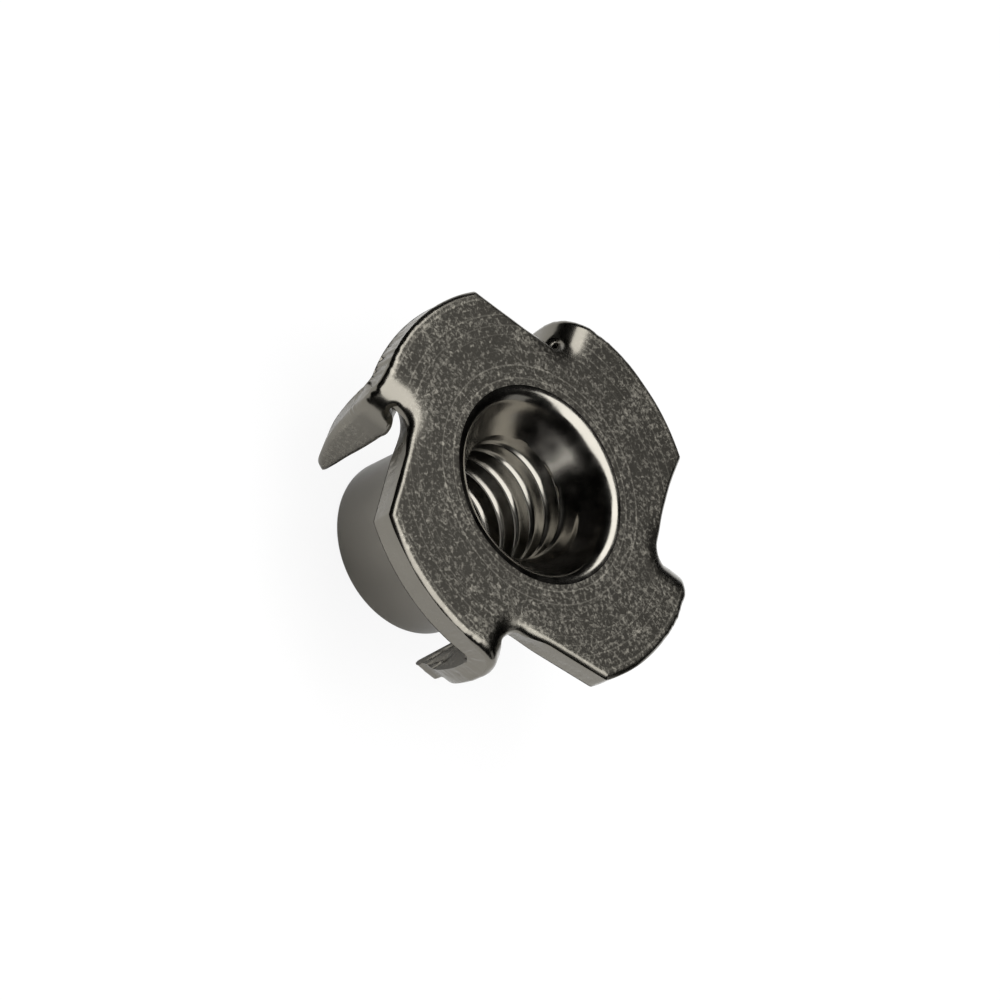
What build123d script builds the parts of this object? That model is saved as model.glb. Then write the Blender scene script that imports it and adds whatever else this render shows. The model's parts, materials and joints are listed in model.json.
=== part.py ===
from build123d import *
from build123d.topology import SkipClean
import math
import os

os.makedirs("parts", exist_ok=True)

# A pronged tee nut, stamped and drawn from one piece of steel sheet.
# Millimetres. Z is the thread axis and points out of the flange. The origin
# is on that axis in the flange's seating face, so the barrel is below Z = 0.

# flange
flange_diameter = 22.0
sheet = 1.5                    # thickness of the flange and of the prongs
edge_roll = 0.2                # rounding that shearing leaves on the outer face's edges

# barrel
overall_height = 11.5          # from the flange's outer face to the barrel's end
barrel_diameter = 9.9
root_radius = 0.5              # inside corner between the barrel and the flange
end_radius = 0.35              # outer edge of the barrel's end

# thread, held here as a plain bore at its minor diameter
thread_minor_diameter = 6.647
end_chamfer = 0.5              # at the barrel's end of the bore
mouth_width = 1.3              # from the barrel's mean wall line out to the flat face
mouth_roll = 0.45              # rounding where the flat face turns into the funnel
funnel_lip = 0.8265            # small end of the drawn funnel, out from the bore
funnel_depth = 0.95

# notches, each sheared from the rim inwards and ended by a round relief
prong_count = 4
shear_corner_angle = 45.0      # where the shear line meets the rim, from the fold line
relief_radius = 1.25
relief_reach = 1.1             # from the start of the fold to the relief's round end

# prongs, measured inwards from the rim and down from the faces
fold_radius = 0.6              # inner radius of the fold
root_width = 1.65              # of the fold, beside the relief
prong_width = 2.65             # of the prong below the flange
shoulder_gap = 0.45            # between the seating face and the prong's inner shoulder
shoulder_radius = 0.6
prong_reach = 7.75             # from the flange's outer face to the prong's tip
taper_width = 0.9              # of the prong where the sharper taper of its tip starts
taper_height = 0.95
taper_radius = 1.5             # rounding of the outer edge there
tip_width = 0.5                # of the blunt tip
edge_crown = 0.25              # bulge of the prong's outer edge from a straight line
straight_run = 0.5             # of that edge below the fold, before it slants inwards
slant_radius = 1.5             # rounding where it does

# the ring of the seating face that nothing hangs under
seat_clearance = 0.15          # between that ring and the prongs' inner edges

# worked out from those
rim = flange_diameter / 2
barrel = barrel_diameter / 2
bore = thread_minor_diameter / 2
barrel_end = sheet - overall_height
fold_outer = fold_radius + sheet
prong_tip = sheet - prong_reach
seat = rim - prong_width - seat_clearance


def turned_body():
    """The barrel and a full round flange, turned about the thread axis."""
    mouth = (barrel + bore) / 2 + mouth_width
    funnel = bore + funnel_lip
    funnel_end = sheet - funnel_depth
    outline = Polyline(
        (bore, barrel_end + end_chamfer),
        (bore + end_chamfer, barrel_end),
        (barrel, barrel_end),
        (barrel, 0),
        (rim, 0),
        (rim, sheet),
        (mouth, sheet),
        (funnel, funnel_end),
        (bore, funnel_end - funnel_lip),
        close=True,
    )
    section = make_face(outline)
    for corner, radius in (
        ((barrel, barrel_end), end_radius),
        ((barrel, 0), root_radius),
        ((mouth, sheet), mouth_roll),
    ):
        vertex = section.vertices().sort_by_distance((*corner, 0))[0]
        section = fillet(vertex, radius)
    return revolve(Plane.XZ * section, Axis.Z)


def notch():
    """What the die opens beside one fold, seen from above with the fold line along Y."""
    far = 2 * rim
    root = root_width - rim
    centre = Vector(relief_reach + relief_radius, root)
    angle = math.radians(shear_corner_angle)
    corner = Vector(rim * math.sin(angle), -rim * math.cos(angle))
    span = centre - corner
    lean = math.asin(relief_radius / span.length)
    heading = math.atan2(span.Y, span.X) - lean
    run = math.sqrt(span.length**2 - relief_radius**2)
    inward = Vector(math.cos(heading), math.sin(heading))
    tangent = corner + inward * run
    beyond = corner - inward * rim
    middle = centre + Vector(-1, 1).normalized() * relief_radius
    end = centre - Vector(relief_radius, 0)
    outline = [
        ThreePointArc(tangent, middle, end),
        Polyline(end, (0, root), (0, -far), (beyond.X, -far), beyond, tangent),
    ]
    return extrude(make_face(outline), sheet)


def fold():
    """The quarter bend at the root of one prong."""
    section = make_face(
        Polyline((-rim, 0), (root_width - rim, 0), (root_width - rim, sheet), (-rim, sheet), close=True)
    )
    section = fillet(section.vertices().sort_by_distance((-rim, sheet, 0))[0], edge_roll)
    hinge = Axis((0, 0, -fold_radius), (0, 1, 0))
    return revolve(Plane.YZ * section, hinge, 90)


def leg():
    """The flat part of one prong, from the fold down to its tip."""
    inner = prong_width - rim
    root = root_width - rim
    top = -fold_radius
    shoulder = -shoulder_gap
    outer_top = Vector(-rim, top)
    taper = Vector(inner - taper_width, prong_tip + taper_height)
    tip = Vector(inner - tip_width, prong_tip)
    slant = outer_top - Vector(0, straight_run)
    chord = taper - slant
    bulge = Vector(chord.Y, -chord.X).normalized() * edge_crown
    outline = [
        Polyline(taper, tip, (inner, prong_tip), (inner, shoulder), (root, shoulder), (root, top)),
        Polyline((root, top), outer_top, slant),
        ThreePointArc(slant, slant + chord / 2 + bulge, taper),
    ]
    profile = make_face(outline)
    for corner, radius in (
        (slant, slant_radius),
        (taper, taper_radius),
        (Vector(inner, shoulder), shoulder_radius),
    ):
        profile = fillet(profile.vertices().sort_by_distance(corner)[0], radius)
    blade = extrude(Plane.YZ.offset(fold_radius) * profile, sheet)
    outer_face = blade.faces().sort_by(Axis.X)[-1]
    rim_side = [edge for edge in outer_face.edges() if (edge @ 0.5).Y < tip.X and (edge @ 0.5).Z < top]
    return fillet(rim_side, edge_roll)


def lies_on(edge, planes):
    """True for an edge whose middle is in one of the planes, each an axis and a place on it."""
    middle = edge @ 0.5
    return any(abs(getattr(middle, axis) - place) < 0.001 for axis, place in planes)


def tee_nut():
    """The whole nut, which is one solid."""
    turns = [Rot(0, 0, index * 360 / prong_count) for index in range(prong_count)]
    body = turned_body()
    for turn in turns:
        body -= turn * notch()
    outline = body.faces().sort_by(Axis.Z)[-1].outer_wire()
    root = rim - root_width
    folded = [(axis, place) for axis in "XY" for place in (0, root, -root)]
    body = fillet([edge for edge in outline.edges() if not lies_on(edge, folded)], edge_roll)
    prong = fold() + leg()
    for turn in turns:
        body += turn * prong
    # the prongs' shoulders reach in under the flange, so the ring that lies flat on the
    # wood is parted from the rest of the seating face by a disc sunk in the metal
    disc = Cylinder(seat, root_radius, align=(Align.CENTER, Align.CENTER, Align.MIN))
    disc -= Cylinder(barrel, root_radius, align=(Align.CENTER, Align.CENTER, Align.MIN))
    with SkipClean():
        body += disc
    return body


export_step(tee_nut(), "parts/tee_nut.step")
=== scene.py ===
import bpy
import json
import math
from mathutils import Matrix, Vector, kdtree, noise
from mathutils.geometry import delaunay_2d_cdt


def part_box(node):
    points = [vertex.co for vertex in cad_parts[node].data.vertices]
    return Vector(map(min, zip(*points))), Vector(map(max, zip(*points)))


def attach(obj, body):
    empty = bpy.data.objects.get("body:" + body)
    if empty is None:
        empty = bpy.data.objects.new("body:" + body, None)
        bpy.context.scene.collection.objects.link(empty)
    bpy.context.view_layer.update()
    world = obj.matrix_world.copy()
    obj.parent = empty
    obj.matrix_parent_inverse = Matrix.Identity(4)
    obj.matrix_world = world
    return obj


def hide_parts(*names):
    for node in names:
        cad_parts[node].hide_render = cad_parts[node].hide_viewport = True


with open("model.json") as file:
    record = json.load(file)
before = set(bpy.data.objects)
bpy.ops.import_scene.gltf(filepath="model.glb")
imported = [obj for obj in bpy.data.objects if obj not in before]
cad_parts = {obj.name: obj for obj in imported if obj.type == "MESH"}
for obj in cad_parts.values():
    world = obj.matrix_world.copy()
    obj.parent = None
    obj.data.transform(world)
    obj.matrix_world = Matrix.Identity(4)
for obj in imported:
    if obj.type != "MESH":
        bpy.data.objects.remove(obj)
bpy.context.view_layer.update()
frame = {"record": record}
low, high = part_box("tee_nut")
print("frame loaded")

# shapes are worked out in millimetres, and mm turns them to metres when a mesh is written
mm = 0.001
mounts = {mount["name"]: mount["dims"] for mount in frame["record"]["mounts"] if mount["dims"]}
rimRadius = high[0] / mm - 0.01
sheetTop = high[2] / mm
barrelEnd = low[2] / mm
boreRadius = mounts["thread"]["r_mm"]
barrelRadius = mounts["barrel"]["r_mm"]


# the flat blank, as it is before its prongs are folded down. Lengths are seen from
# above with the prong's fold on x = 0 and the rim at -y, and each quarter turn repeats it
blank = {
    "spacing": 0.08,                 # between points of the outline
    "softening": 0.07,               # how far the tumbling has rounded its corners
    "reliefRadius": 1.25,
    "slotWidth": 0.13,               # what the shear opens between prong and flange
    "slotEnd": 174,                  # degrees round the relief
    "slotRounding": 6,
    "shearStart": 94,
    "shoulderEnd": 75,
    "shoulderRun": 0.5,              # from there to the prong's straight inner edge
    "tipRise": 0.14,                 # the blunt tip of the prong
    "tipBack": 0.16,
    "tipDepth": 0.4,
    "sagSteps": 8,
}

# one row for each prong and the notch beside it, which the worn die cut a little
# differently: the prong's inner edge and reach, how full its outer edge is, how far the
# shear line sags, and how badly the fold has stretched and lapped the metal
prongs = [
    {"relief": (2.35, -9.52), "corner": 316.6, "sag": 0.0, "inner": (-8.74, -9.05), "reach": 6.85,
     "belly": 0.55, "ridges": 0.3, "laps": 0.55},
    {"relief": (2.35, -9.35), "corner": 315, "sag": 0.2, "inner": (-8.36, -8.3), "reach": 7.58,
     "belly": 0.0, "ridges": 0.5, "laps": 0.3},
    {"relief": (2.35, -9.35), "corner": 315, "sag": 0.05, "inner": (-8.36, -8.3), "reach": 7.58,
     "belly": 0.0, "ridges": 0.5, "laps": 0.3},
    {"relief": (2.35, -9.55), "corner": 315, "sag": 0.0, "inner": (-8.41, -8.16), "reach": 7.95,
     "belly": 0.04, "ridges": 1.0, "laps": 0.2},
]
# the prong's outer edge, drawn for a prong of this reach
edgeReach = 7.58
bellySpan = 7.7
prongEdge = [(1.5, -10.93), (3.0, -10.6), (5.0, -9.98), (6.5, -9.3), (7.25, -8.83)]

fold = {
    "innerRadius": 0.6,
    "neutral": 0.6,                  # height in the sheet that keeps its length
    "shearShare": 0.3,               # how much of the bend is left where the shear line starts
    "shearFade": 1.8,                # and how far along that line it dies out
    "zone": (-0.6, 8.3, -6.9),       # a prong's part of the blank: from x, to x, below y
}


def turned(x, y, quarters):
    # a point turned that many quarter turns about the thread axis
    for _ in range(quarters % 4):
        x, y = -y, x
    return x, y


def smooth(value):
    value = min(1, max(0, value))
    return value * value * (3 - 2 * value)


def throughPoints(points, steps=12):
    # a smooth open curve through the points
    ends = [2 * points[0] - points[1]] + points + [2 * points[-1] - points[-2]]
    curve = []
    for index in range(len(points) - 1):
        a, b, c, d = ends[index:index + 4]
        for step in range(steps):
            t = step / steps
            curve.append(0.5 * (2 * b + (c - a) * t + (2 * a - 5 * b + 4 * c - d) * t * t
                                + (3 * b - a - 3 * c + d) * t ** 3))
    return curve + [points[-1]]


def onCircle(centre, radius, degrees):
    angle = math.radians(degrees)
    return Vector((centre[0] + radius * math.cos(angle), centre[1] + radius * math.sin(angle)))


def arc(centre, radius, start, end, steps=24):
    return [onCircle(centre, radius, start + (end - start) * step / steps) for step in range(steps + 1)]


def quarterOutline(prong, cornerBefore):
    # from one sheared corner along the rim, round the prong and its slot to the next corner
    centre = prong["relief"]
    innerStart, innerEnd = prong["inner"]
    reach = prong["reach"]
    shoulder = blank["reliefRadius"] - blank["slotWidth"]
    outer = [Vector((0, -rimRadius))]
    for x, y in prongEdge:
        bulge = prong["belly"] * math.sin(math.pi * x / bellySpan)
        y = max(min(y - bulge, innerEnd - blank["tipDepth"]), -rimRadius)
        outer.append(Vector((x * reach / edgeReach, y)))
    outer.append(Vector((reach, innerEnd - blank["tipRise"])))
    points = arc((0, 0), rimRadius, cornerBefore - 90, 270)[:-1]
    points += [Vector((point.x, max(point.y, -rimRadius))) for point in throughPoints(outer)]
    points.append(Vector((reach - blank["tipBack"], innerEnd)))
    points.append(Vector((centre[0] + blank["shoulderRun"], innerStart)))
    points += arc(centre, shoulder, blank["shoulderEnd"], blank["slotEnd"])
    points.append(onCircle(centre, blank["reliefRadius"] - blank["slotWidth"] / 2,
                           blank["slotEnd"] + blank["slotRounding"]))
    points += arc(centre, blank["reliefRadius"], blank["slotEnd"], blank["shearStart"])
    start = points[-1]
    corner = onCircle((0, 0), rimRadius, prong["corner"])
    steps = blank["sagSteps"]
    for step in range(1, steps):
        sag = prong["sag"] * math.sin(math.pi * step / steps)
        points.append(start.lerp(corner, step / steps) + Vector((0, sag)))
    return points + [corner]


def resampled(points, spacing):
    # the closed line with its points evenly spaced
    lengths = [(points[index] - points[index - 1]).length for index in range(len(points))]
    total = sum(lengths)
    count = round(total / spacing)
    result = []
    index = 0
    passed = 0
    for step in range(count):
        wanted = step * total / count
        after = (index + 1) % len(points)
        while passed + lengths[after] < wanted:
            passed += lengths[after]
            index += 1
            after = (index + 1) % len(points)
        here = points[index % len(points)]
        result.append(here.lerp(points[after], (wanted - passed) / (lengths[after] or 1)))
    return result


def softened(points, sigma):
    # the closed line with its corners rounded
    reach = math.ceil(3 * sigma)
    weights = [math.exp(-0.5 * (step / sigma) ** 2) for step in range(-reach, reach + 1)]
    total = sum(weights)
    count = len(points)
    return [sum((points[(index + step) % count] * weight for step, weight
                 in zip(range(-reach, reach + 1), weights)), Vector((0, 0))) / total
            for index in range(count)]


def wholeOutline():
    points = []
    for quarter, prong in enumerate(prongs):
        for point in quarterOutline(prong, prongs[quarter - 1]["corner"]):
            points.append(Vector(turned(point.x, point.y, quarter)))
    even = resampled(points, blank["spacing"])
    return softened(even, blank["softening"] / blank["spacing"])


def quarterOf(x, y):
    # which prong's fold a point of the blank belongs to, and the point as that prong sees it
    fromX, toX, belowY = fold["zone"]
    for quarter in range(4):
        seenX, seenY = turned(x, y, 4 - quarter)
        if fromX < seenX < toX and seenY < belowY:
            return quarter, seenX, seenY
    return None, x, y


def onProng(x, y, prong):
    # true on the prong's side of the slot
    centreX, centreY = prong["relief"]
    middle = blank["reliefRadius"] - blank["slotWidth"] / 2
    if x < centreX - middle:
        return False
    if x < centreX:
        return y < centreY - 0.35 or math.hypot(x - centreX, y - centreY) < middle
    corner = math.radians(prong["corner"])
    share = (x - centreX) / (rimRadius * math.cos(corner) - centreX)
    shear = centreY + blank["reliefRadius"]
    shear += (rimRadius * math.sin(corner) - shear) * share
    return y < shear - blank["slotWidth"] / 2


def bendOf(x, y, prong):
    # how far past the start of the bend a point is, which way the bend heads, and its share
    centreX, centreY = prong["relief"]
    if y < centreY or onProng(x, y, prong):
        return x, Vector((1, 0)), 1
    # the bend's start runs round the relief and then along the shear line
    if x > centreX:
        past = centreX - (y - centreY)
        share = fold["shearShare"] * smooth(1 - (x - centreX) / fold["shearFade"])
        return past, Vector((0, -1)), share
    toCentre = Vector((centreX - x, centreY - y))
    turn = math.atan2(-toCentre.y, toCentre.x) / (math.pi / 2)
    share = 1 - (1 - fold["shearShare"]) * smooth(turn)
    return centreX - toCentre.length, toCentre.normalized(), share


def folded(x, y, height):
    # where a point of the blank, at that height above its seating side, is on the finished nut
    quarter, seenX, seenY = quarterOf(x, y)
    if quarter is None:
        return Vector((x, y, height))
    past, heading, share = bendOf(seenX, seenY, prongs[quarter])
    if past <= 0 or share < 0.001:
        return Vector((x, y, height))
    radius = fold["innerRadius"] + fold["neutral"]
    run = radius * math.pi / 2
    curvature = share / radius
    angle = curvature * min(past, run)
    rest = max(0, past - run)
    above = height - fold["neutral"]
    out = math.sin(angle) / curvature + rest * math.cos(angle) + above * math.sin(angle)
    rise = above * math.cos(angle) - (1 - math.cos(angle)) / curvature - rest * math.sin(angle)
    start = Vector((seenX, seenY)) - heading * past
    place = start + heading * out
    placedX, placedY = turned(place.x, place.y, quarter)
    return Vector((placedX, placedY, fold["neutral"] + rise))


# what the press does to the blank's edge: a rolled top, a bright sheared band, and a
# torn band below it
edge = {
    "roll": (0.34, 0.2),             # width and depth of the rolled top
    "reliefRoll": (0.42, 0.3),       # round the end of each notch
    "foldRoll": (0.5, 0.42),         # on the rim beside each fold
    "rollSteps": (0.04, 0.14, 0.3, 0.52, 0.78, 1.0),
    "wallSteps": (0.1, 0.2, 0.31, 0.42, 0.53, 0.64, 0.75, 0.86, 0.95),
    "tornDepth": 0.05,
    "burrInset": 0.03,
    "ridgeDepth": 0.13,
    "lapDepth": 0.16,
    "gridSpacing": 0.33,
    "bendSpacing": 0.16,
    "waviness": 0.01,                # millimetres the flange is out of flat
    "wavinessScale": 0.45,           # per millimetre
    "sharpAngle": 38,                # degrees from which an edge is shaded sharp
}

# parts of the blank that are meshed finely, as a prong sees them: from x, to x, below y
bendZones = ((-0.3, 3.4, -7.0), (3.3, 8.3, -8.0))
bendSpan = (8.6, 4.0)                # what the two cover, in x and y

# how each fold stretches the rim beside it, as its prong sees the rim
stretch = {
    "zone": (-6, 5, -9.3, 9.9),      # from x, to x, below y, beyond this radius
    "rollZone": (-9.6, 10.2),        # below y, beyond this radius
    "fade": (5, 3),                  # gone at this x, over this length
    "broadScale": 2.3,               # marks per millimetre
    "fineScale": 5.5,
    "rollShares": (0.5, 0.35),       # of broad and fine marks on the rolled edge
    "wallShares": (1.0, 0.6),        # and on the cut edge
    "wallBias": 0.4,
}

# the laps inside a prong: where along it they start and end, and how wide they are
laps = {
    "start": (1.2, 0.8),
    "end": (7, 2),
    "across": 2.0,
    "slant": 0.3,
    "along": 0.2,
    "halfWidth": 0.16,
}

# how the torn band's upper limit wanders, and how rough the band is
torn = {
    "middle": 0.45,
    "wander": (0.35, 0.12),
    "wanderScales": (1.3, 6),
    "softness": 0.12,
    "roughScales": (4, 2),
}

turnedPart = {
    "segments": 192,
    "joinRadius": 6.2,               # where the turned middle meets the blank's sheet
    "flatRings": (5.95, 5.75),
    "mouthRadius": 5.58,
    "mouthRoll": (0.8, 0.5),       # across and down
    "mouthTilt": 54,                 # how steep the roll is where the funnel starts
    "funnel": (4.28, 1.2),           # radius and depth of its small end
    "rootRadius": 0.5,
    "seatRing": 5.8,                 # last ring on the seating face before the sheet
    "endRadius": 0.35,
    "endOpening": 4.08,              # radius of the thread's opening at the barrel's end
    "endChamfer": 0.22,
}

thread = {
    "pitch": 1.25,
    "majorRadius": 3.95,
    "startSlope": 0.85,              # how fast the funnel and the barrel's end cut the thread off
    "endSlope": 1.1,
    "finest": 0.004,                 # rows nearer to an end than this join its ring
    # share of a pitch, and share of the way from the thread's crest to its root
    "profile": ((0, 0.0), (0.05, 0), (0.1, 0.02), (0.13, 0.12), (0.17, 0.4), (0.21, 0.7), (0.25, 0.92),
                (0.29, 0.99), (0.34, 1), (0.4, 0.97), (0.5, 0.84), (0.64, 0.62), (0.78, 0.42), (0.86, 0.3),
                (0.92, 0.2), (0.96, 0.09)),
}

vertices = []
faces = []
finishes = []
polish = []          # 1 where tumbling and the press have smoothed the sheet, 0 on its flats
sheetFinish, cutFinish, drawnFinish, threadFinish = range(4)


def addVertex(place, shine=0.0):
    vertices.append(place)
    polish.append(shine)
    return len(vertices) - 1


def addFace(corners, finish):
    faces.append(corners)
    finishes.append(finish)


def bridge(upper, lower, finish):
    # quads between two closed rings of equal length, facing out of the metal
    count = len(upper)
    for index in range(count):
        after = (index + 1) % count
        addFace((upper[index], lower[index], lower[after], upper[after]), finish)


def buildSheet():
    # the flange and its folded prongs, with the ring where the turned middle joins on
    outline = wholeOutline()
    count = len(outline)
    tree = kdtree.KDTree(count)
    for index, point in enumerate(outline):
        tree.insert((point.x, point.y, 0), index)
    tree.balance()
    normals = []
    for index in range(count):
        run = outline[(index + 1) % count] - outline[index - 1]
        normals.append(Vector((run.y, -run.x)).normalized())
    points = list(outline)
    rolls = [rollAt(point) for point in outline]
    for step in edge["rollSteps"]:
        for index in range(count):
            inset = step * rolls[index][0]
            point = outline[index] - normals[index] * inset
            if tree.find((point.x, point.y, 0))[2] > inset * 0.94:
                points.append(point)
    joinStart = len(points)
    segments = turnedPart["segments"]
    for index in range(segments):
        angle = 2 * math.pi * index / segments
        points.append(Vector((math.cos(angle), math.sin(angle))) * turnedPart["joinRadius"])
    points += insidePoints(outline, normals, tree, rolls)
    borders = [(index, (index + 1) % count) for index in range(count)]
    borders += [(joinStart + index, joinStart + (index + 1) % segments) for index in range(segments)]
    flat, _, triangles, origins, _, _ = delaunay_2d_cdt(points, borders, [], 1, 0.0001)
    triangles = [corners for corners in triangles
                 if sum((flat[corner] for corner in corners), Vector((0, 0))).length / 3
                 > turnedPart["joinRadius"] * 0.9998]
    # each point's distance from the edge sets how far the edge's roll has dropped it
    upper = []
    lower = []
    for number, point in enumerate(flat):
        _, index, distance = tree.find((point.x, point.y, 0))
        width, depth, fullness = rolls[index]
        share = max(0, 1 - distance / width)
        flatter = share ** 2.2
        rounder = 1 - math.sqrt(1 - share * share)
        drop = depth * ((1 - fullness) * flatter + fullness * rounder)
        ripple = edge["waviness"] * noise.noise(Vector((point.x, point.y, 0)) * edge["wavinessScale"])
        ripple *= smooth((point.length - turnedPart["joinRadius"]) / 1.5)
        quarter, seenX, seenY = quarterOf(point.x, point.y)
        past, bent = 0, 0
        if quarter is not None:
            past, _, bent = bendOf(seenX, seenY, prongs[quarter])
        bent *= smooth(past / 0.5) * (0.7 + 0.3 * smooth((3.2 - past) / 0.8))
        shine = max(smooth(share * 1.5), bent)
        upper.append(addVertex(folded(point.x, point.y, sheetTop - drop + min(0, ripple)), shine))
        if any(origin < count for origin in origins[number]):
            point = point - normals[index] * edge["burrInset"]
        lower.append(addVertex(folded(point.x, point.y, lapAt(quarter, seenX, seenY)), shine))
    for a, b, c in triangles:
        addFace((upper[a], upper[b], upper[c]), sheetFinish)
        addFace((lower[c], lower[b], lower[a]), sheetFinish)
    order = {}
    for number, source in enumerate(origins):
        for origin in source:
            order[origin] = number
    buildWall(outline, normals, rolls, [upper[order[index]] for index in range(count)],
              [lower[order[index]] for index in range(count)])
    return ([upper[order[joinStart + index]] for index in range(segments)],
            [lower[order[joinStart + index]] for index in range(segments)])


def insidePoints(outline, normals, tree, rolls):
    # points inside the blank, closer together where it is bent
    result = []

    def keep(x, y, spacing):
        place = Vector((x, y))
        _, index, distance = tree.find((x, y, 0))
        inward = (outline[index] - place).dot(normals[index])
        if inward > 0 and distance > rolls[index][0] + 0.1 * spacing:
            if place.length > turnedPart["joinRadius"] + 0.4 * spacing:
                result.append(place)

    def inBend(x, y):
        seen = [turned(x, y, 4 - quarter) for quarter in range(4)]
        return any(fromX < seenX < toX and seenY < belowY
                   for seenX, seenY in seen for fromX, toX, belowY in bendZones)

    spacing = edge["gridSpacing"]
    steps = math.ceil(rimRadius / spacing)
    for column in range(-steps, steps):
        for row in range(-steps, steps):
            x, y = (column + 0.5) * spacing, (row + 0.5) * spacing
            if not inBend(x, y):
                keep(x, y, spacing)
    spacing = edge["bendSpacing"]
    startX, _, startY = bendZones[0]
    for quarter in range(4):
        for column in range(round(bendSpan[0] / spacing)):
            for row in range(round(bendSpan[1] / spacing)):
                x, y = turned(startX + (column + 0.5) * spacing, startY - (row + 0.5) * spacing, quarter)
                if inBend(x, y):
                    keep(x, y, spacing)
    return result


def stretchedAt(point):
    # which fold stretches the rim at this point, and the point as that fold sees it
    fromX, toX, belowY, beyond = stretch["zone"]
    for quarter in range(4):
        x, y = turned(point.x, point.y, 4 - quarter)
        if fromX < x < toX and y < belowY and math.hypot(x, y) > beyond:
            return quarter, x, y
    return None, 0, 0


def fadeOut(x):
    end, run = stretch["fade"]
    return smooth((end - x) / run)


def rollAt(point):
    # width and depth of the rolled top edge at a point of the outline, and how round it is
    width, depth = edge["roll"]
    fullness = 0
    quarter, x, y = quarterOf(point.x, point.y)
    if quarter is not None:
        centreX, centreY = prongs[quarter]["relief"]
        near = smooth((4.2 - x) / 2.4) * smooth((math.hypot(x - centreX, y - centreY) - 1.15) / 0.08)
        near *= smooth((y - centreY + 0.9) / 0.5)
        width += (edge["reliefRoll"][0] - width) * near
        depth += (edge["reliefRoll"][1] - depth) * near
    stretched = 0
    quarter, x, y = stretchedAt(point)
    if quarter is not None:
        amount = prongs[quarter]["ridges"] * fadeOut(x) * (0.1 + 0.9 * smooth((x + 4.5) / 4))
        broad = noise.noise(Vector((x * stretch["broadScale"], 0, quarter * 9)))
        fine = noise.noise(Vector((x * stretch["fineScale"], 0, quarter * 5)))
        broadShare, fineShare = stretch["rollShares"]
        stretched = amount * (broadShare * broad + fineShare * fine)
        belowY, beyond = stretch["rollZone"]
        if y < belowY and math.hypot(x, y) > beyond:
            fullness = smooth((x + 1.2) / 1.2) * smooth((4.5 - x) / 2)
            width += (edge["foldRoll"][0] - width) * fullness
            depth += (edge["foldRoll"][1] - depth) * fullness
    vary = 1 + 0.25 * noise.noise(Vector((point.x, point.y, 3)) * 0.6)
    return width * (1 + 0.3 * stretched), depth * (vary + stretched), fullness


def lapAt(quarter, x, y):
    # how deep the inside of a prong is folded over on itself, in lines along its length
    start, startRun = laps["start"]
    end, endRun = laps["end"]
    if quarter is None or x < start or not onProng(x, y, prongs[quarter]):
        return 0
    across = y * laps["across"] + laps["slant"] * x
    line = noise.noise(Vector((across, x * laps["along"], quarter * 7)))
    amount = prongs[quarter]["laps"] * smooth((x - start) / startRun) * smooth((end - x) / endRun)
    return edge["lapDepth"] * amount * smooth(1 - abs(line) / laps["halfWidth"])


def buildWall(outline, normals, rolls, upper, lower):
    # the cut edge of the sheet, in rings from its rolled top down to the burr
    count = len(outline)
    last = upper
    for step in edge["wallSteps"]:
        ring = []
        for index, point in enumerate(outline):
            height = (sheetTop - rolls[index][1]) * (1 - step)
            along = Vector((point.x, point.y, 0))
            boundary = torn["middle"]
            for share, scale in zip(torn["wander"], torn["wanderScales"]):
                boundary += share * noise.noise(along * scale)
            tornShare = smooth((step - boundary) / torn["softness"])
            across, down = torn["roughScales"]
            rough = 0.5 + 0.5 * noise.noise(Vector((point.x * across, point.y * across, height * down)))
            push = -edge["tornDepth"] * tornShare * rough
            push -= ridges(point, step, height)
            moved = point + normals[index] * push
            ring.append(addVertex(folded(moved.x, moved.y, height), 0.0))
        bridge(last, ring, cutFinish)
        last = ring
    bridge(last, lower, cutFinish)


def ridges(point, step, height):
    # stretch marks across the outer edge, deepest where the sheet is bent most
    quarter, x, _ = stretchedAt(point)
    if quarter is None:
        return 0
    amount = prongs[quarter]["ridges"] * fadeOut(x) * (0.25 + 0.75 * smooth((x + 5) / 4))
    broad = noise.noise(Vector((x * stretch["broadScale"], height * 0.4, quarter * 9)))
    fine = noise.noise(Vector((x * stretch["fineScale"], height * 0.8, quarter * 5)))
    broadShare, fineShare = stretch["wallShares"]
    wave = broadShare * broad + fineShare * fine
    return edge["ridgeDepth"] * amount * smooth(step / 0.15) * max(0, stretch["wallBias"] + wave)


def ringOf(radius, z, shine=0.6):
    segments = turnedPart["segments"]
    return [addVertex(Vector((radius * math.cos(2 * math.pi * index / segments),
                              radius * math.sin(2 * math.pi * index / segments), z)), shine)
            for index in range(segments)]


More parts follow.
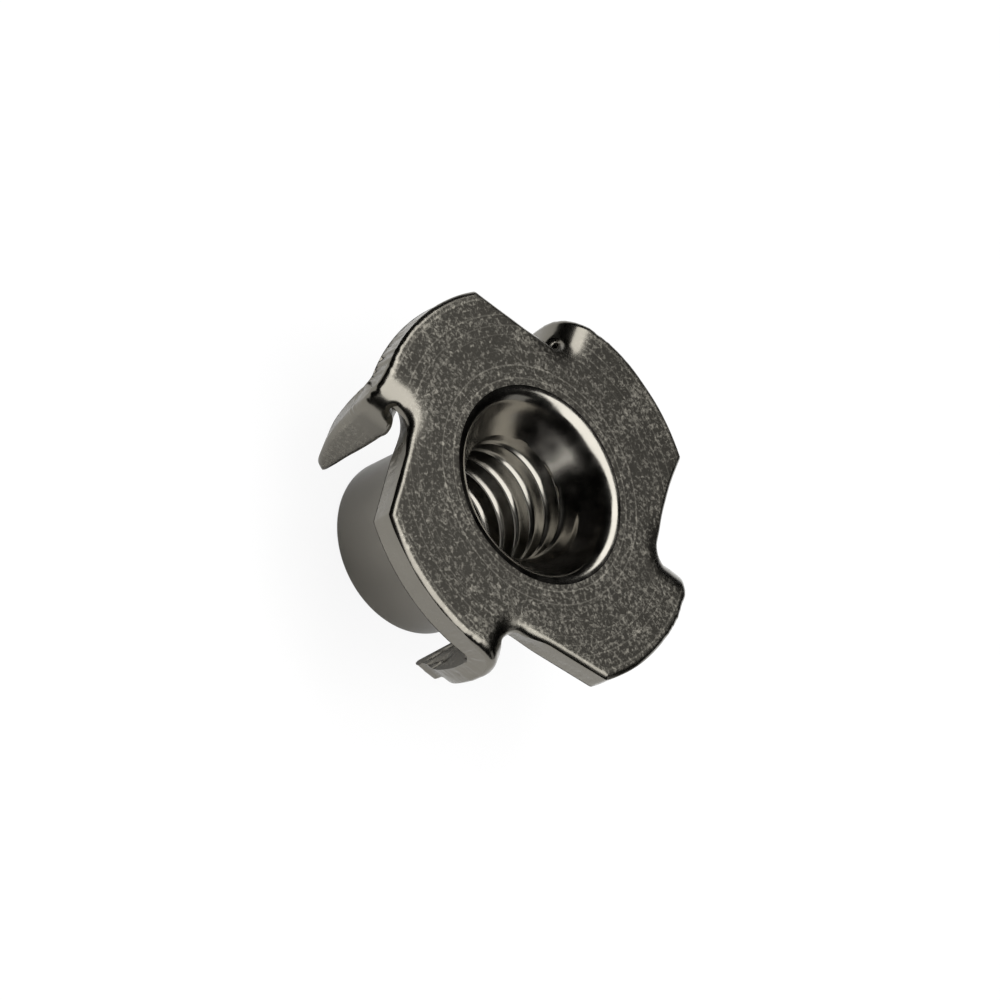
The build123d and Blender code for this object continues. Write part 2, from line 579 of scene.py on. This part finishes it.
def buildMiddle(top, bottom):
    # the rolled mouth, funnel, thread and barrel, turned about the thread axis
    funnelRadius, funnelDepth = turnedPart["funnel"]
    mouth = turnedPart["mouthRadius"]
    across, down = turnedPart["mouthRoll"]
    tilt = math.radians(turnedPart["mouthTilt"])
    last = top
    profile = [(radius, 0, 0.0) for radius in turnedPart["flatRings"]]
    profile.append((mouth, 0, 0.1))
    for step in range(1, 7):
        angle = tilt * step / 6
        profile.append((mouth - across * math.sin(angle) / math.sin(tilt),
                        down * (1 - math.cos(angle)) / (1 - math.cos(tilt)), 1.0))
    startR, startD = profile[-1][:2]
    for step in range(1, 7):
        share = step / 7
        profile.append((startR + (funnelRadius - startR) * share,
                        startD + (funnelDepth - startD) * share + 0.03 * math.sin(math.pi * share), 0.8))
    for radius, depth, shine in profile:
        ring = ringOf(radius, sheetTop - depth, shine)
        bridge(ring, last, drawnFinish if shine > 0.9 or depth > down else sheetFinish)
        last = ring
    threadTop = sheetTop - funnelDepth
    lastRing = ringOf(funnelRadius, threadTop, 0.5)
    bridge(lastRing, last, drawnFinish)
    threadEnd = buildThread(lastRing, threadTop)
    # the barrel's end, outside and root
    opening = turnedPart["endOpening"]
    endRadius = turnedPart["endRadius"]
    last = threadEnd
    outside = [(opening + turnedPart["endChamfer"], barrelEnd), (barrelRadius - endRadius, barrelEnd)]
    for step in range(1, 7):
        angle = math.radians(step * 15)
        outside.append((barrelRadius - endRadius + endRadius * math.sin(angle),
                        barrelEnd + endRadius * (1 - math.cos(angle))))
    root = turnedPart["rootRadius"]
    wallTop = -root
    wallBottom = outside[-1][1]
    for step in range(1, 12):
        outside.append((barrelRadius, wallBottom + (wallTop - wallBottom) * step / 12))
    for step in range(8):
        angle = math.radians(step * 90 / 7)
        outside.append((barrelRadius + root * (1 - math.cos(angle)), wallTop + root * math.sin(angle)))
    outside.append((turnedPart["seatRing"], 0))
    for radius, z in outside:
        ring = ringOf(radius, z)
        bridge(ring, last, drawnFinish)
        last = ring
    bridge(bottom, last, sheetFinish)


def buildThread(topRing, topZ):
    # the helical wall of the bore, closed at both ends on plain rings
    segments = turnedPart["segments"]
    pitch = thread["pitch"]
    depth = thread["majorRadius"] - boreRadius
    funnelRadius = turnedPart["funnel"][0]
    opening = turnedPart["endOpening"]
    perPitch = len(thread["profile"])
    finest = thread["finest"]
    rows = (math.ceil((topZ - barrelEnd) / pitch) + 1) * perPitch + 1
    bottomRing = ringOf(opening, barrelEnd, 0.3)
    grid = {}
    for index in range(segments + 1):
        angle = 2 * math.pi * index / segments
        for row in range(rows):
            share, cut = thread["profile"][row % perPitch]
            z = topZ - (row // perPitch + share - index / segments) * pitch
            if z > topZ - finest:
                grid[index, row] = topRing[index % segments]
            elif z < barrelEnd + finest:
                grid[index, row] = bottomRing[index % segments]
            elif index == segments:
                grid[index, row] = grid[0, row - perPitch]
            else:
                radius = max(boreRadius + cut * depth, funnelRadius - thread["startSlope"] * (topZ - z),
                             opening - (z - barrelEnd) * thread["endSlope"])
                place = Vector((radius * math.cos(angle), radius * math.sin(angle), z))
                grid[index, row] = addVertex(place, 0.3)
    for index in range(segments):
        for row in range(rows - 1):
            corners = (grid[index, row], grid[index + 1, row],
                       grid[index + 1, row + 1], grid[index, row + 1])
            unique = tuple(dict.fromkeys(corners))
            if len(unique) > 2:
                addFace(unique, threadFinish)
    return bottomRing


topJoin, bottomJoin = buildSheet()
print("sheet built:", len(vertices), "points")
buildMiddle(topJoin, bottomJoin)
print("turned middle built:", len(vertices), "points,", len(faces), "faces")


def linear(hexColour):
    # an sRGB hex colour as the linear one that shaders take
    parts = [int(hexColour[place:place + 2], 16) / 255 for place in (1, 3, 5)]
    return [part / 12.92 if part <= 0.04045 else ((part + 0.055) / 1.055) ** 2.4 for part in parts] + [1]


def addNode(material, kind, inputs=None, **settings):
    # one node, with its settings and with its sockets set or linked
    node = material.node_tree.nodes.new("ShaderNode" + kind)
    for name, value in settings.items():
        setattr(node, name, value)
    for name, value in (inputs or {}).items():
        if isinstance(value, bpy.types.NodeSocket):
            material.node_tree.links.new(value, node.inputs[name])
        else:
            node.inputs[name].default_value = value
    return node


def newMaterial(name):
    material = bpy.data.materials.new(name)
    material.use_nodes = True
    material.node_tree.nodes.clear()
    return material


def scaleFor(size):
    # the noise scale whose grains are that many millimetres across
    return 1 / (size * mm)


def finishMetal(material, colour, rough, bump):
    shader = addNode(material, "BsdfPrincipled", {"Base Color": colour, "Metallic": 1.0,
                                                  "Roughness": rough.outputs["Result"],
                                                  "Normal": bump.outputs["Normal"]})
    addNode(material, "OutputMaterial", {"Surface": shader.outputs["BSDF"]})


# steel strip under bright nickel, tumbled after stamping: a dark satin with fine specks and faint tool
# rings on the flats, painted paler as glints of light, smooth and glossy where the sheet is bent or rolled
tumbled = {
    "colour": "#67645d",
    # the paler colour is painted glints on the grain and on the tool rings
    "paintedGlintColour": "#a5a196",
    "roughness": 0.36,
    "speckRoughness": 0.52,
    "polishedRoughness": 0.2,
    "grain": 0.2,             # millimetres across, drawn coarser than the real marks so that they show
    "cloud": 3.0,             # patches where the specks lie closer together
    "ring": 0.25,
    "bump": 0.35,
    "bumpDepth": 0.01,
}

# the sheared edge of the same strip: smeared bright by the die near the top and torn
# grey below, streaked through its thickness
sheared = {
    "colour": "#6d6a63",
    "roughness": 0.3,
    "streak": 0.12,           # millimetres across, and stretched along the axis
    "stretch": (1.0, 1.0, 0.25),
    "bump": 0.5,
    "bumpDepth": 0.015,
}

# the drawn barrel and funnel: ironed by the punch, so smoother, with faint lines along the draw
drawn = {
    "colour": "#7f7c75",
    "roughness": 0.17,
    "streak": 0.16,
    "stretch": (1.0, 1.0, 0.12),
    "bump": 0.35,
    "bumpDepth": 0.008,
}

# tapped thread, plated after cutting: glossy, with cutting lines that follow the helix
tapped = {
    "colour": "#7f7c75",
    "roughness": 0.16,
    "streak": 0.05,
    "stretch": (0.3, 0.3, 1.0),
    "bump": 0.3,
    "bumpDepth": 0.006,
}


def tumbledSteel():
    material = newMaterial("tumbledNickelSteel")
    place = addNode(material, "TexCoord").outputs["Object"]
    shine = addNode(material, "Attribute", attribute_name="polish").outputs["Fac"]
    dull = addNode(material, "Math", {0: 1.0, 1: shine}, operation="SUBTRACT").outputs[0]
    grain = addNode(material, "TexNoise", {"Vector": place, "Scale": scaleFor(tumbled["grain"]),
                                           "Detail": 2.0, "Roughness": 0.6, "Distortion": 0.6})
    cloud = addNode(material, "TexNoise", {"Vector": place, "Scale": scaleFor(tumbled["cloud"]),
                                           "Detail": 4.0, "Roughness": 0.65})
    # the painted glint specks begin at a lower grain where the cloud is thick
    lowest = addNode(material, "MapRange", {"Value": cloud.outputs["Fac"], "From Min": 0.3,
                                            "From Max": 0.7, "To Min": 0.55, "To Max": 0.42})
    lowest = lowest.outputs["Result"]
    highest = addNode(material, "Math", {0: lowest, 1: 0.3}, operation="ADD")
    paintedGlintSpecks = addNode(material, "MapRange", {"Value": grain.outputs["Fac"], "From Min": lowest,
                                            "From Max": highest.outputs[0]})
    # the press tool's facing marks run round the axis, so they vary with the radius alone
    radius = addNode(material, "VectorMath", {0: place}, operation="LENGTH").outputs["Value"]
    rings = addNode(material, "TexNoise", {"W": radius, "Scale": scaleFor(tumbled["ring"]),
                                           "Detail": 2.0}, noise_dimensions="1D")
    rings = addNode(material, "MapRange", {"Value": rings.outputs["Fac"], "From Min": 0.6,
                                           "From Max": 0.75, "To Max": 0.35})
    paintedGlintSpecks = addNode(material, "Math", {0: paintedGlintSpecks.outputs["Result"], 1: rings.outputs["Result"]},
                     operation="ADD", use_clamp=True)
    paintedGlintSpecks = addNode(material, "Math", {0: paintedGlintSpecks.outputs[0], 1: dull}, operation="MULTIPLY")
    # the specks and tool rings lighten the metal's colour: painted glints on real grain and tool marks,
    # none where the sheet is polished
    colour = addNode(material, "Mix", {"Factor": paintedGlintSpecks.outputs[0], "A": linear(tumbled["colour"]),
                                       "B": linear(tumbled["paintedGlintColour"])}, data_type="RGBA")
    satin = addNode(material, "Mix", {"Factor": shine, "A": tumbled["roughness"],
                                      "B": tumbled["polishedRoughness"]})
    rough = addNode(material, "Mix", {"Factor": paintedGlintSpecks.outputs[0], "A": satin.outputs["Result"],
                                      "B": tumbled["speckRoughness"]})
    strength = addNode(material, "Math", {0: dull, 1: tumbled["bump"]}, operation="MULTIPLY")
    bump = addNode(material, "Bump", {"Height": grain.outputs["Fac"], "Strength": strength.outputs[0],
                                      "Distance": tumbled["bumpDepth"] * mm})
    finishMetal(material, colour.outputs["Result"], rough, bump)
    return material


def streakedSteel(name, look):
    material = newMaterial(name)
    place = addNode(material, "TexCoord").outputs["Object"]
    squeezed = addNode(material, "Mapping", {"Vector": place, "Scale": look["stretch"]})
    streaks = addNode(material, "TexNoise", {"Vector": squeezed.outputs["Vector"], "Detail": 4.0,
                                             "Scale": scaleFor(look["streak"]),
                                             "Roughness": 0.6})
    cloud = addNode(material, "TexNoise", {"Vector": place, "Scale": scaleFor(1.2), "Detail": 3.0})
    rough = addNode(material, "MapRange", {"Value": cloud.outputs["Fac"], "From Min": 0.3,
                                           "From Max": 0.7, "To Min": look["roughness"] - 0.04,
                                           "To Max": look["roughness"] + 0.08})
    bump = addNode(material, "Bump", {"Height": streaks.outputs["Fac"], "Strength": look["bump"],
                                      "Distance": look["bumpDepth"] * mm})
    finishMetal(material, linear(look["colour"]), rough, bump)
    return material


mesh = bpy.data.meshes.new("stamped_nut")
mesh.from_pydata([place * mm for place in vertices], [], faces)
mesh.polygons.foreach_set("material_index", finishes)
mesh.polygons.foreach_set("use_smooth", [True] * len(faces))
mesh.attributes.new("polish", "FLOAT", "POINT").data.foreach_set("value", polish)
mesh.update()
mesh.set_sharp_from_angle(angle=math.radians(edge["sharpAngle"]))
mesh.materials.append(tumbledSteel())
mesh.materials.append(streakedSteel("shearedSteel", sheared))
mesh.materials.append(streakedSteel("drawnSteel", drawn))
mesh.materials.append(streakedSteel("tappedSteel", tapped))
nut = bpy.data.objects.new("stamped_nut", mesh)
bpy.context.scene.collection.objects.link(nut)
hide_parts("tee_nut")
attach(nut, "root")
print("nut written:", len(mesh.vertices), "points,", sum(len(face) - 2 for face in faces), "triangles")


# a plain white sweep, soft lamps overhead and a dark tent that the metal mirrors
studio = {
    "floorSize": 4.0,
    "floorGap": 0.00002,       # keeps the floor clear of the barrel's end
    "floorColour": "#f2f2f2",
    "floorGlow": 0.9,          # how white the paper is to the camera
    "mirroredGlow": 0.1,       # and to the metal, which also mirrors its shading
    "tentRadius": 0.7,
    "tentGap": 0.002,
    "tentColour": "#131313",
    "worldLight": 0.3,
    "lamps": (
        # name, place, tilt about x and y, width, depth and watts
        ("overheadLamp", (0.04, -0.16, 0.3), (0, 0), 0.37, 0.44, 2.1),
        ("cornerLamp", (-0.09, 0.24, 0.3), (0, 0), 0.22, 0.36, 1.1),
        ("sideLamp", (0.32, -0.05, 0.08), (0, 75), 0.14, 0.12, 0.03),
    ),
}


def whiteWhereSeen(material, glow, mirroredGlow, base):
    # white to the camera, to reflections and through glass, and its own colour to the light
    path = addNode(material, "LightPath")
    through = addNode(material, "Math", {0: path.outputs["Is Glossy Ray"],
                                         1: path.outputs["Is Transmission Ray"]}, operation="MAXIMUM")
    through = addNode(material, "Math", {0: through.outputs[0], 1: mirroredGlow}, operation="MULTIPLY")
    direct = addNode(material, "Math", {0: path.outputs["Is Camera Ray"], 1: glow}, operation="MULTIPLY")
    share = addNode(material, "Math", {0: through.outputs[0], 1: direct.outputs[0]}, operation="MAXIMUM")
    white = addNode(material, "Emission", {"Color": (1, 1, 1, 1), "Strength": 1.0})
    mixed = addNode(material, "MixShader", {0: share.outputs[0], 1: base, 2: white.outputs["Emission"]})
    return mixed.outputs["Shader"]


def buildStudio():
    floorMaterial = newMaterial("paperFloor")
    paper = addNode(floorMaterial, "BsdfDiffuse", {"Color": linear(studio["floorColour"])})
    surface = whiteWhereSeen(floorMaterial, studio["floorGlow"], studio["mirroredGlow"],
                             paper.outputs["BSDF"])
    addNode(floorMaterial, "OutputMaterial", {"Surface": surface})
    half = studio["floorSize"] / 2
    floorMesh = bpy.data.meshes.new("floor")
    floorMesh.from_pydata([(-half, -half, 0), (half, -half, 0), (half, half, 0), (-half, half, 0)], [],
                          [(0, 1, 2, 3)])
    floorMesh.materials.append(floorMaterial)
    floor = bpy.data.objects.new("floor", floorMesh)
    floor.location.z = low[2] - studio["floorGap"]

    tentMaterial = newMaterial("blackCloth")
    cloth = addNode(tentMaterial, "BsdfDiffuse", {"Color": linear(studio["tentColour"])})
    addNode(tentMaterial, "OutputMaterial", {"Surface": cloth.outputs["BSDF"]})
    tentMesh = bpy.data.meshes.new("tent")
    rows, columns, radius = 12, 32, studio["tentRadius"]
    tentPoints = []
    for row in range(rows + 1):
        rise = math.radians(90 * row / rows)
        for column in range(columns):
            around = 2 * math.pi * column / columns
            tentPoints.append((radius * math.cos(rise) * math.cos(around),
                               radius * math.cos(rise) * math.sin(around), radius * math.sin(rise)))
    tentFaces = []
    for row in range(rows):
        for column in range(columns):
            start = row * columns
            after = (column + 1) % columns
            tentFaces.append((start + column, start + after, start + columns + after,
                              start + columns + column))
    tentMesh.from_pydata(tentPoints, [], tentFaces)
    tentMesh.materials.append(tentMaterial)
    tent = bpy.data.objects.new("tent", tentMesh)
    tent.location.z = low[2] + studio["tentGap"]
    tent.visible_camera = False
    tent.visible_shadow = False
    for thing in (floor, tent):
        bpy.context.scene.collection.objects.link(thing)

    for name, place, tilt, width, depth, watts in studio["lamps"]:
        lamp = bpy.data.lights.new(name, "AREA")
        lamp.shape = "RECTANGLE"
        lamp.size = width
        lamp.size_y = depth
        lamp.energy = watts
        holder = bpy.data.objects.new(name, lamp)
        holder.location = place
        holder.rotation_euler = (math.radians(tilt[0]), math.radians(tilt[1]), 0)
        holder.visible_camera = False
        bpy.context.scene.collection.objects.link(holder)

    world = bpy.data.worlds.new("studio")
    world.use_nodes = True
    world.node_tree.nodes.clear()
    dim = addNode(world, "Background", {"Color": (1, 1, 1, 1), "Strength": studio["worldLight"]})
    surface = whiteWhereSeen(world, 1.0, 1.0, dim.outputs["Background"])
    addNode(world, "OutputWorld", {"Surface": surface})
    bpy.context.scene.world = world


view = {
    "aim": (-0.00108, -0.001255, -0.000126),
    "distance": 0.2946,
    "azimuth": 235.453,
    "elevation": 45.376,
    "roll": 64.52,
    "lens": 199.7,
    "sensor": 36.0,
}


def buildCamera():
    camera = bpy.data.objects.new("camera", bpy.data.cameras.new("camera"))
    camera.data.lens = view["lens"]
    camera.data.sensor_width = view["sensor"]
    camera.data.clip_start = 0.01
    azimuth, elevation = math.radians(view["azimuth"]), math.radians(view["elevation"])
    back = Vector((math.cos(elevation) * math.cos(azimuth), math.cos(elevation) * math.sin(azimuth),
                   math.sin(elevation)))
    level = back.to_track_quat("Z", "Y").to_matrix()
    turn = level @ Matrix.Rotation(math.radians(view["roll"]), 3, "Z")
    place = Vector(view["aim"]) + back * view["distance"]
    camera.matrix_world = Matrix.Translation(place) @ turn.to_4x4()
    bpy.context.scene.collection.objects.link(camera)
    bpy.context.scene.camera = camera


buildStudio()
buildCamera()
bpy.context.scene.view_settings.view_transform = "Standard"
print("studio and camera placed")
